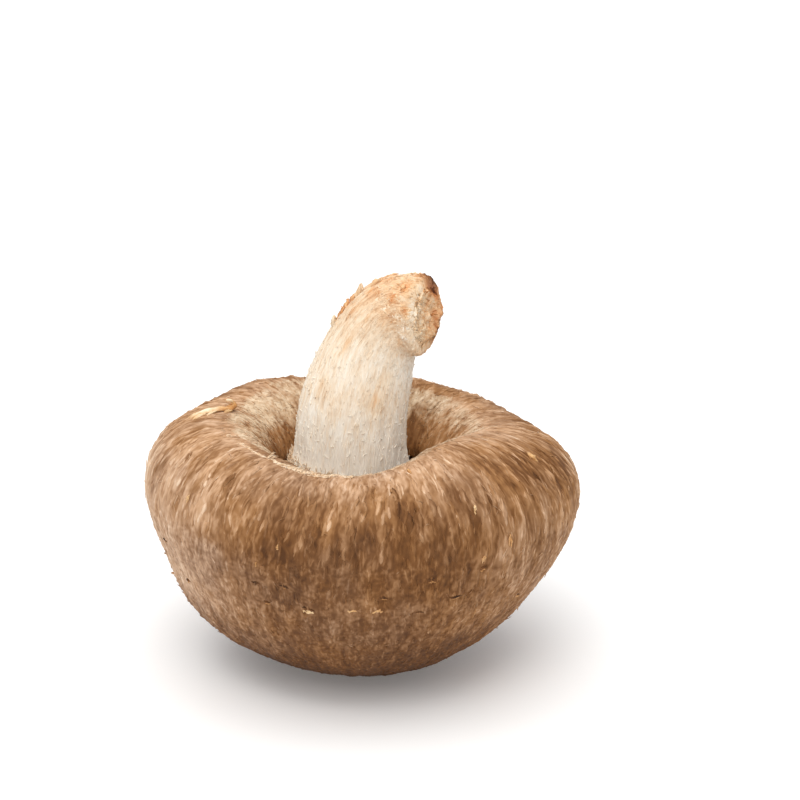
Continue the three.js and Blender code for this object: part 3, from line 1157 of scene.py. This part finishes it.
curlSettings = {
    "seed": 48,
    "around": 12,
    "steps": 42,
    "halfThick": 0.24,
    "unevenness": 0.16,
    # direction, along, lift, width, tone
    "path": [
        (179.5, 58.2, -0.15, 0.60, 0.60), (176.6, 60.0, 0.10, 1.45, 0.76), (175.2, 61.2, 0.24, 1.70, 0.76),
        (173.6, 62.2, 0.26, 1.55, 0.62), (170.4, 63.1, 0.30, 1.40, 0.48), (167.0, 63.6, 0.44, 1.35, 0.42),
        (164.8, 63.8, 0.80, 1.25, 0.42), (164.6, 63.5, 1.30, 1.00, 0.52), (166.2, 63.2, 1.60, 0.75, 0.74),
        (167.4, 63.0, 1.50, 0.40, 0.80),
    ],
}


def curlMiddle(place, more=0.0):
    row = curveThrough(curlSettings["path"], place)
    turn = np.radians(row[:, 0])
    return capPoint(turn, row[:, 1], row[:, 2] + capRelief(turn, row[:, 1]) + more)


def makeCurl():
    # a sphere drawn out along a curved path into a flat strip
    settings = curlSettings
    rng = np.random.default_rng(settings["seed"])
    bm = bmesh.new()
    bmesh.ops.create_uvsphere(bm, u_segments=settings["around"], v_segments=settings["steps"], radius=1)
    piece = linkMesh(bm, "curledStrip", peelFlesh)
    points = readPoints(piece.data)
    share = np.arccos(np.clip(points[:, 2], -1, 1)) / pi
    around = np.arctan2(points[:, 1], points[:, 0])
    closing = np.clip(np.hypot(points[:, 0], points[:, 1]) / sin(pi / settings["steps"]), 0, 1)
    path = curveThrough(settings["path"], share)
    onward = curlMiddle(np.minimum(share + 0.01, 1)) - curlMiddle(np.maximum(share - 0.01, 0))
    side = np.cross(onward, curlMiddle(share, 0.2) - curlMiddle(share))
    side /= np.linalg.norm(side, axis=1)[:, None]
    up = np.cross(side, onward)
    up /= np.linalg.norm(up, axis=1)[:, None]
    uneven = 1 + settings["unevenness"] * (gridNoise(around / tau * 6, share * 14, 6, 61) - 0.5) * 2
    wide = (path[:, 3] / 2 * np.cos(around) * uneven * closing)[:, None]
    high = (settings["halfThick"] * np.sin(around) * uneven * closing)[:, None]
    writePoints(piece.data, curlMiddle(share) + side * wide + up * high)
    tone = path[:, 4] - 0.24 * np.clip(np.cos(around), 0, 1) + rng.normal(0, 0.03, len(share))
    warm = 0.35 + 0.45 * smoothStep(share, 0.3, 0.45) * fallStep(share, 0.75, 0.9)
    writeNumbers(piece.data, tone=np.clip(tone, 0, 1), warm=warm)
    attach(piece, "root")


makeCurl()
print("curled strip made")

# short hairs standing from the skin

hairSettings = {
    "seed": 53,
    "count": 700,
    "alongs": (24, 68),
    "length": (0.8, 2.2),
    "width": (0.06, 0.13),
    "high": (0.04, 0.08),
    "curl": 0.15,
    "lean": 30,
    "reversed": 0.3,  # this share of them points the other way
    "root": -0.05,
    "tip": (0.1, 0.4),
    "paler": (0.05, 0.25),
    "darkest": 0,
    "rings": 3,
}

growStrands("skinHairs", capSkin, hairSettings, onCap)
print("hairs made")

# gills

gillSettings = {
    "seed": 61,
    "count": 120,  # long blades, with a short one after each
    "cells": (11, 4),  # along a blade and up it
    "inner": 9.6,
    "outer": 21.2,
    "shortStart": (0.35, 0.3),  # the share of its length that a short blade lacks, and its spread
    "aside": 0.3,  # of the gap between blades
    "foot": -6.3,
    "rise": -1.5,
    "riseSpread": 0.35,
    "belly": 0.9,  # how much higher the middle of a blade is
    "shortLower": 0.5,
    "leastRise": 0.25,  # of a blade's height, at its ends
    "innerEnd": 0.10,
    "outerEnd": (0.86, 0.75),  # where a blade starts to fall, and by how much
    "thickness": 0.26,
    "taper": (1.25, 0.5),  # thickness at the bed, and what it loses by the edge
    "sway": [(0.28, 5), (0.12, 13)],  # in millimetres, and how fast it swings along a blade
    "bedSway": 0.35,  # of the sway, at the bed
    "stemMiddle": (-1.85, 0.5),  # blades gather towards the stem, which isn't in the cap's middle
    "gather": (20.9, 11),
    "tones": (0.5, 0.45, 0.1),  # at the bed, paler by the edge, spread
    "finish": {
        "roughness": 0.7,
        "sheen": 0.3,
        "relief": 0.6,
        "reliefDepth": 0.00015,
        "cloud": 700.0,
        "cream": [
            (0.0, (176, 132, 88)), (0.4, (226, 196, 154)), (0.7, (241, 221, 188)), (1.0, (249, 237, 214)),
        ],
    },
}


def gillMaterial():
    settings = gillSettings["finish"]
    desk = NodeDesk("gillFlesh")
    tone = desk.attribute("tone")
    cloud = desk.noise(desk.place(), settings["cloud"], 3.0, 0.6)
    value = desk.math("ADD", tone, desk.span(cloud, 0.35, 0.65, -0.12, 0.12), clamp=True)
    return desk.finish(desk.ramp(value, settings["cream"]), cloud, settings)


def bladeMesh():
    blade = bmesh.new()
    long, high = gillSettings["cells"]
    bmesh.ops.create_grid(blade, x_segments=long, y_segments=high, size=1)
    risen = bmesh.ops.extrude_face_region(blade, geom=blade.faces[:])
    verts = [v for v in risen["geom"] if isinstance(v, bmesh.types.BMVert)]
    bmesh.ops.translate(blade, vec=(0, 0, 1), verts=verts)
    bmesh.ops.recalc_face_normals(blade, faces=blade.faces)
    mesh = bpy.data.meshes.new("blade")
    blade.to_mesh(mesh)
    blade.free()
    return mesh


def makeGills():
    settings = gillSettings
    rng = np.random.default_rng(settings["seed"])
    small = bladeMesh()
    shape = readPoints(small)
    total = 2 * settings["count"]
    piece = linkMesh(repeatMesh(small, total), "gillBlades", gillMaterial())
    short = (np.arange(total) % 2)[:, None]
    least, more = settings["shortStart"]
    start = short * (least + more * rng.random((total, 1)))
    run = start + (1 - start) * (shape[:, 0] + 1) / 2
    rise = (shape[:, 1] + 1) / 2
    side = shape[:, 2] - 0.5
    top = settings["rise"] + settings["belly"] * np.sin(pi * np.clip(run, 0, 1))
    top = top - settings["shortLower"] * short + settings["riseSpread"] * (rng.random((total, 1)) - 0.5)
    fallStart, fall = settings["outerEnd"]
    ends = smoothStep(run - start, 0, settings["innerEnd"]) ** 0.5
    ends = ends * (1 - fall * smoothStep(run, fallStart, 1))
    full = settings["leastRise"] + (1 - settings["leastRise"]) * ends
    height = settings["foot"] + rise * (top - settings["foot"]) * full
    radius = settings["inner"] + run * (settings["outer"] - settings["inner"])
    phase = tau * rng.random((total, 2))
    sway = sum(wide * np.sin(run * fast + at[:, None]) for (wide, fast), at in zip(settings["sway"], phase.T))
    thick, thinner = settings["taper"]
    across = sway * (settings["bedSway"] + (1 - settings["bedSway"]) * rise)
    across = across + side * settings["thickness"] * (thick - thinner * rise)
    aside = rng.uniform(-settings["aside"], settings["aside"], (total, 1))
    turn = (np.arange(total)[:, None] + aside) * tau / total + across / radius
    x, y = (radius * np.cos(turn)).ravel(), (radius * np.sin(turn)).ravel()
    farthest, within = settings["gather"]
    gather = np.clip((farthest - np.hypot(x, y)) / within, 0, 1)
    middle = settings["stemMiddle"]
    place = setDown(np.stack([x + gather * middle[0], y + gather * middle[1], height.ravel()], 1))
    writePoints(piece.data, place)
    dark, paler, uneven = settings["tones"]
    tone = dark + paler * rise + uneven * (rng.random((total, 1)) - 0.5)
    writeNumbers(piece.data, tone=tone.ravel())
    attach(piece, "root")
    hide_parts("gills")


makeGills()
print("gills made")

# stem

stemSettings = {
    "around": 160,
    "rows": 150,
    "endRows": 14,
    "endZone": 2.2,  # the closer rows before the cut
    "cutRings": 26,
    "endRound": 1.3,
    # layers of noise: share, cells round, length of a cell, seed
    "ribs": [(0.26, 34, 6.0, 21), (0.16, 80, 2.4, 22)],
    "ribPatches": [(180, 100, 27.5, 11, -0.6)],
    "footFlare": [(5, 70, (0, 3), (7.5, 12.5), 1.3), (-165, 90, (0, 3), (5.5, 12.5), 1.9)],
    "tornRelief": [(0.54, 18, 2.6, 27), (0.36, 40, 1.2, 31)],
    "cutRelief": [(0.9, 3.4, 23), (0.7, 8, 24)],
    "cloud": [(0.5, 9, 5.0, 25), (0.5, 26, 2.4, 26)],
    "streaks": [(0.10, 44, 9.0, 32), (0.16, 90, 2.0, 37)],
    "rust": [(0.65, 17, 2.9, 30), (0.35, 40, 1.3, 36)],
    "ragged": [(1.0, 60, 0.9, 38)],
    "shades": [
        # painted light: the first lightens the foot, which the cap shades, the second the right side, away
        # from the lamps
        (0, allRound, fromStart, (12, 22), 0.2), (0, 75, (14, 20), toEnd, 0.14),
    ],
    # stains: direction, along, half width, half length, depth
    "stains": [
        (-149, 43.6, 1.7, 1.1, 0.24), (-131, 41.8, 1.6, 1.3, 0.22), (-109, 44.6, 1.2, 1.6, 0.24),
        (-157, 36.9, 1.3, 0.8, 0.20), (177, 32.6, 1.6, 1.8, 0.24), (-71, 21.5, 1.8, 2.6, 0.14),
        (-125, 29.0, 0.7, 2.0, 0.12), (-64, 25.5, 1.4, 1.2, 0.10), (-62, 39.5, 0.5, 1.8, 0.12),
        (-137, 22.0, 0.8, 1.8, 0.10), (-150, 33.5, 0.8, 1.4, 0.12), (-120, 35.0, 0.5, 1.6, 0.08),
        (60, 30.0, 1.8, 2.6, 0.14), (110, 24.0, 1.4, 2.4, 0.14), (15, 33.0, 1.2, 2.0, 0.16),
        (140, 38.0, 1.2, 1.0, 0.22), (-96, 41.5, 0.5, 1.8, 0.12), (-168, 40.5, 1.0, 1.0, 0.16),
    ],
    # the cut's dark and pale places, from 0 in its middle to 1 at its edge
    "cutShades": [
        (-95, 100, (0.15, 0.75), toEnd, 0.12), (150, 60, (0.55, 0.85), toEnd, -0.50),
        (60, 80, (0.2, 0.6), (0.7, 0.9), -0.16), (30, 40, (0.8, 0.95), toEnd, -0.25),
    ],
    "finish": {
        "roughness": 0.72,
        "sheen": 0.28,
        "relief": 0.7,
        "reliefDepth": 0.0003,
        "dull": [
            (0.0, (70, 44, 28)), (0.16, (122, 90, 62)), (0.34, (184, 152, 118)), (0.55, (222, 198, 170)),
            (0.75, (241, 225, 204)), (1.0, (255, 250, 240)),
        ],
        "gold": [
            (0.0, (96, 46, 22)), (0.16, (160, 92, 48)), (0.34, (218, 146, 92)), (0.55, (238, 191, 141)),
            (0.75, (247, 222, 187)), (1.0, (255, 245, 226)),
        ],
    },
}


def pastLean(turn, along):
    # the shoulder's tan begins later on the side that faces forward
    return along - 7 * humpAt(np.degrees(turn), -60, 90)


def stemTone(turn, along):
    # cream, with long faint streaks, a few tan blotches and rust where the shoulder is torn, and painted
    # light on the foot and the right side
    settings = stemSettings
    cloud = mottle(stemNoise, turn, along, settings["cloud"])
    calm = 1 - 0.45 * smoothStep(along, 18, 28)
    uneven = 0.24 * cloud + mottle(stemNoise, turn, along, settings["streaks"])
    uneven = uneven - 0.10 * smoothStep(cloud + 0.5, 0.62, 0.8)
    late = pastLean(turn, along)
    tone = 0.80 + calm * uneven - 0.08 * smoothStep(late, 22, 30) - 0.16 * smoothStep(late, 28, 38)
    return tone + paint(turn, along, washes=settings["shades"]) - stemStains(turn, along)


def stemWarm(turn, along):
    # 0 greyer, 1 peach and orange
    direction = np.degrees(turn)
    onCut = smoothStep(along, 45.6, 46.6)
    crescent = humpAt(direction, 140, 50) * fallStep(along, 47, 50)
    warm = 0.3 + 0.15 * smoothStep(pastLean(turn, along), 26, 37) + 2.0 * stemStains(turn, along)
    # warmer at the foot: painted warm light against the cool shade under the cap
    warm = warm + 0.25 * fallStep(along, 12, 22) - 0.2 * humpAt(direction, 0, 75)
    warm = warm - 0.2 * humpAt(direction, -80, 60) * smoothStep(along, 38, 44)
    return np.clip(warm * (1 - onCut) + onCut * (0.85 + 0.15 * crescent), 0, 1)


def stemStains(turn, along):
    # tan and orange spots, and rust patches where the shoulder is torn
    settings = stemSettings
    patch = 0.5 + mottle(stemNoise, turn, along, settings["rust"])
    torn = smoothStep(along, 34, 41) * (1 - 0.8 * humpAt(np.degrees(turn), -92, 60))
    depth = 0.15 * smoothStep(patch, 0.58, 0.74) * torn
    ragged = 1.0 + mottle(stemNoise, turn, along, settings["ragged"])
    for at, level, wide, long, deep in settings["stains"]:
        stain = spot(turn, along, stemForm["girth"], at, level, wide, long)
        depth = np.maximum(depth, deep * ragged * stain)
    return depth


def cutRelief(turn, reach):
    layers = stemSettings["cutRelief"]
    rough = sum(high * (cutNoise(turn, reach, scale, seed) - 0.5) for high, scale, seed in layers) - 0.3
    return rough * fallStep(reach, 0.88, 1.0)


def stemSkin(turn, along):
    settings = stemSettings
    ribs = mottle(stemNoise, turn, along, settings["ribs"])
    ribs = ribs + paint(turn, along, settings["ribPatches"], settings["footFlare"])
    rough = smoothStep(along, 36, 43) * mottle(stemNoise, turn, along, settings["tornRelief"])
    onCut = smoothStep(along - stemForm["length"], 0, 0.8)
    return (ribs + rough) * (1 - onCut) + cutRelief(turn, cutReach(along)) * onCut


def cutReach(along):
    # past the stem's length a place runs inward over the cut
    return 1 - np.clip(along - stemForm["length"], 0, stemForm["cutRun"]) / stemForm["girth"]


def stemLift(along):
    # rounds the side in towards the cut
    size = stemSettings["endRound"]
    into = np.clip(along - (stemForm["length"] - size), 0, size)
    return -(size - np.sqrt(np.maximum(size**2 - into**2, 0)))


def stemPlace(turn, along, lift):
    reach = cutReach(along)
    onCut = smoothStep(along - stemForm["length"], 0, 0.8)
    side = lift * (1 - onCut) + stemLift(along) * reach
    return stemPoint(turn, np.clip(along / stemForm["length"], 0, 1), side, reach, lift * onCut)


def stemGirth(along):
    return stemForm["girth"] * cutReach(along)


def stemMaterial():
    settings = stemSettings["finish"]
    desk = NodeDesk("stemFlesh")
    grain = desk.attribute("grain", "Vector")
    tone = desk.attribute("tone")
    fine = desk.noise(desk.stretch(grain, (36, 36, 0.8)), 1.0, distort=0.3)
    broad = desk.noise(desk.stretch(grain, (12, 12, 0.3), (3, 0, 0)), 1.0, distort=0.4)
    streak = desk.math("ADD", desk.math("MULTIPLY", fine, 0.5), desk.math("MULTIPLY", broad, 0.5))
    value = desk.math("ADD", tone, desk.span(streak, 0.38, 0.62, -0.085, 0.085), clamp=True)
    dull, gold = desk.ramp(value, settings["dull"]), desk.ramp(value, settings["gold"])
    return desk.finish(desk.mix(desk.attribute("warm"), dull, gold), streak, settings)


stemFlesh = stemMaterial()
onStem = {
    "place": stemPlace,
    "girth": stemGirth,
    "relief": stemSkin,
    "tone": stemTone,
    "warm": stemWarm,
    "slot": "stem",
}


def cutTone(turn, reach):
    # tan woolly face, darker in patches, with a dark crescent at its upper far edge
    speck = cutNoise(turn, reach, 9, 28)
    tone = 0.62 + 0.18 * (cutNoise(turn, reach, 4, 29) - 0.5) + 0.14 * (speck - 0.5)
    return tone + paint(turn, reach, washes=stemSettings["cutShades"]) - 0.22 * (speck > 0.88)


def makeStem():
    settings = stemSettings
    long, zone, rings = stemForm["length"], settings["endZone"], settings["cutRings"]
    alongs = np.concatenate([
        np.linspace(0, long - zone, settings["rows"], endpoint=False),
        long - zone * (1 - np.linspace(0, 1, settings["endRows"])) ** 1.4,
    ])
    rows = [(0, 0)] + [(1, along / long) for along in alongs]
    rows += [(i / rings, 1) for i in range(rings - 1, -1, -1)]
    stem = linkMesh(spinRows(rows, settings["around"]), "stemFlesh", stemFlesh)
    points = readPoints(stem.data)
    turn = np.arctan2(points[:, 1], points[:, 0])
    reach = np.hypot(points[:, 0], points[:, 1])
    share = points[:, 2]
    along = share * long
    onCut = share > 0.9999
    lift = stemSkin(turn, along) * smoothStep(reach, 0.97, 1.0) + stemLift(along) * reach * (share > 0.5)
    writePoints(stem.data, stemPoint(turn, share, lift, reach, cutRelief(turn, reach) * onCut))
    writeGrain(stem.data, turn, along, reach)
    torn = np.maximum(onCut * 1.0, smoothStep(along, long - 1.0, long - 0.3))
    tone = stemTone(turn, along) * (1 - torn) + torn * cutTone(turn, reach)
    warm = stemWarm(turn, along + onCut * stemForm["girth"] * (1 - reach))
    writeNumbers(stem.data, tone=np.clip(tone, 0, 1), warm=warm)
    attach(stem, "root")
    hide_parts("stem")


makeStem()
print("stem made")

# fibres, hairs and wool on the stem

stemFibreSettings = {
    "seed": 71,
    "count": 5600,
    "alongs": (5, 43),
    "length": (1.2, 4.2),
    "width": (0.12, 0.28),
    "high": (0.03, 0.09),
    "curl": 0.14,
    "lean": 7,
    "root": -0.03,
    "tip": (-0.03, 0.08),
    "toneSpread": 0.05,
    "darkest": 0.3,
    "rings": 5,
}

stemHairSettings = {
    "seed": 73,
    "count": 1400,
    "alongs": (6, 42),
    "length": (0.4, 1.1),
    "width": (0.06, 0.12),
    "high": (0.04, 0.08),
    "curl": 0.15,
    "lean": 35,
    "root": -0.05,
    "tip": (0.06, 0.4),
    "paler": (0, 0.06),
    "darkest": 0.4,
    "warmth": 0.7,
    "rings": 3,
}

footWoolSettings = {
    "seed": 74,
    "count": 600,
    "direction": -175,
    "scatter": 30,
    "alongs": (6.5, 11),
    "length": (0.8, 2.2),
    "width": (0.06, 0.15),
    "high": (0.03, 0.06),
    "curl": 0.3,
    "lean": 60,
    "root": -0.05,
    "tip": (0.1, 0.9),
    "warm": 0.3,
}


def makeFootWool():
    # loose wool between the foot of the stem and the wall at its left
    settings = footWoolSettings
    rng = np.random.default_rng(settings["seed"])
    count = settings["count"]
    turn = radians(settings["direction"]) + radians(settings["scatter"]) * rng.normal(0, 1, count)
    along = spread(rng, *settings["alongs"], count)
    strands = drawStrands(rng, settings, (turn + pi) % tau - pi, along)
    strands["tone"] = np.clip(rng.normal(0.76, 0.06, count), 0.4, 1)
    makeStrands("footWool", paleFlesh, strands, onStem, 4)


fraySettings = {
    "seed": 72,
    # chunky shreds, and finer ones over them: number, width, length, height
    "shreds": [(800, 0.78, 2.0, 0.13), (1300, 0.34, 1.6, 0.08)],
    "start": 46.7,  # just over the edge of the cut
    "reach": 4.5,  # how far down the side they lie
    "further": [(190, 110, 5.5)],
    "edge": (43.4, 45.2),
    "tone": 0.60,
    "paler": [(-75, 75, 0.18)],
    "edgeDarker": [(154, 54, 0.55), (60, 60, 0.3)],
    "toneSpread": 0.045,
    "lean": 34,
    "spiky": 0.07,  # this share of them stands up
    "cutShreds": 1100,
    "cutFront": (-95, 42),  # direction and spread of those at the cut's front edge
    "cutFrontShare": 0.6,
    "cutInward": (4.2, 7.0),  # how far in they reach, at the front and elsewhere
    "cutLean": 50,
    # torn points: direction, along, base length, rise, tone
    "spikes": [
        (-178, 35.3, 1.7, 1.25, 0.70), (178, 32.7, 1.2, 0.7, 0.46), (180, 29.8, 1.1, 0.8, 0.72),
        (179, 31.5, 1.2, 0.35, 0.40), (-172, 38.4, 1.4, 0.45, 0.62), (178, 34.0, 1.0, 0.4, 0.5),
    ],
}


def edgeShreds(rng, number, wide, size, high):
    # shreds below the edge of the cut, reaching further down on the far left
    settings = fraySettings
    turn = spread(rng, -pi, pi, number)
    direction = np.degrees(turn)
    away = rng.random(number) ** 1.7
    along = settings["start"] - (settings["reach"] + humps(direction, settings["further"])) * away
    spiky = rng.random(number) < settings["spiky"]
    tone = settings["tone"] + 0.10 * away + humps(direction, settings["paler"])
    tone = tone - 0.8 * stemStains(turn, along)
    tone = tone - smoothStep(along, *settings["edge"]) * humps(direction, settings["edgeDarker"])
    return np.stack([
        turn, along,
        size * spread(rng, 0.55, 1.25, number) + 0.5 * spiky,
        wide * spread(rng, 0.6, 1.3, number) * (1 - 0.4 * spiky),
        high * spread(rng, 0.5, 1.3, number) * (1 - 0.7 * away),
        rng.normal(0, settings["lean"], number),
        spread(rng, -0.1, 0.02, number),
        (spread(rng, -0.06, 0.12, number) + 0.5 * spiky * rng.random(number)) * (1 - 0.6 * away),
        np.clip(tone + rng.normal(0, settings["toneSpread"], number), 0.04, 1),
    ], 1)


def cutShreds(rng, number):
    # shreds over the cut, most of them at its front edge
    settings = fraySettings
    near = rng.random(number) < settings["cutFrontShare"]
    front, scattered = settings["cutFront"]
    front = np.radians(front + scattered * rng.normal(0, 1, number))
    turn = np.where(near, front, spread(rng, -pi, pi, number))
    turn = (turn + pi) % tau - pi
    close, far = settings["cutInward"]
    inward = np.where(near, close, far) * rng.random(number)
    tone = cutTone(turn, 1 - inward / stemForm["girth"]) + near * 0.1 * (1 - inward / close)
    return np.stack([
        turn, stemForm["length"] + inward,
        spread(rng, 0.5, 1.5, number), spread(rng, 0.14, 0.44, number), spread(rng, 0.04, 0.1, number),
        rng.normal(0, settings["cutLean"], number), spread(rng, -0.05, 0.03, number),
        spread(rng, 0.0, 0.28, number),
        np.clip(np.clip(tone, 0, 1) + rng.normal(0, 0.06, number), 0.06, 0.9),
    ], 1)


def spikeShreds(rng, at, level, base, tip, tone):
    # a torn point, from shreds whose tips meet
    point = level + 0.45 * base
    rows = []
    for part in np.linspace(-0.55, 0.2, 5):
        middle = level + part * base
        for aside in (-1.5, 1.5):
            rows.append((
                radians(at + aside), middle, 2 * (point - middle), 0.5, 0.34, rng.normal(0, 3),
                -0.6 * tip, tip * rng.uniform(0.85, 1.05), tone + rng.normal(0, 0.04),
            ))
    return np.array(rows)


def makeFrays():
    settings = fraySettings
    rng = np.random.default_rng(settings["seed"])
    rows = [edgeShreds(rng, *shreds) for shreds in settings["shreds"]]
    rows.append(cutShreds(rng, settings["cutShreds"]))
    rows += [spikeShreds(rng, *spike) for spike in settings["spikes"]]
    strands = rowStrands(rng, np.vstack(rows), 0.15)
    strands["warm"] = stemWarm(strands["turn"], strands["along"])
    makeStrands("stemFrays", paleFlesh, strands, onStem, 4, 0.35)
    print("frays", len(strands["turn"]))


growStrands("stemHairs", stemFlesh, stemHairSettings, onStem)
makeFootWool()
growStrands("stemFibres", stemFlesh, stemFibreSettings, onStem)
makeFrays()
print("stem fibres and frays made")
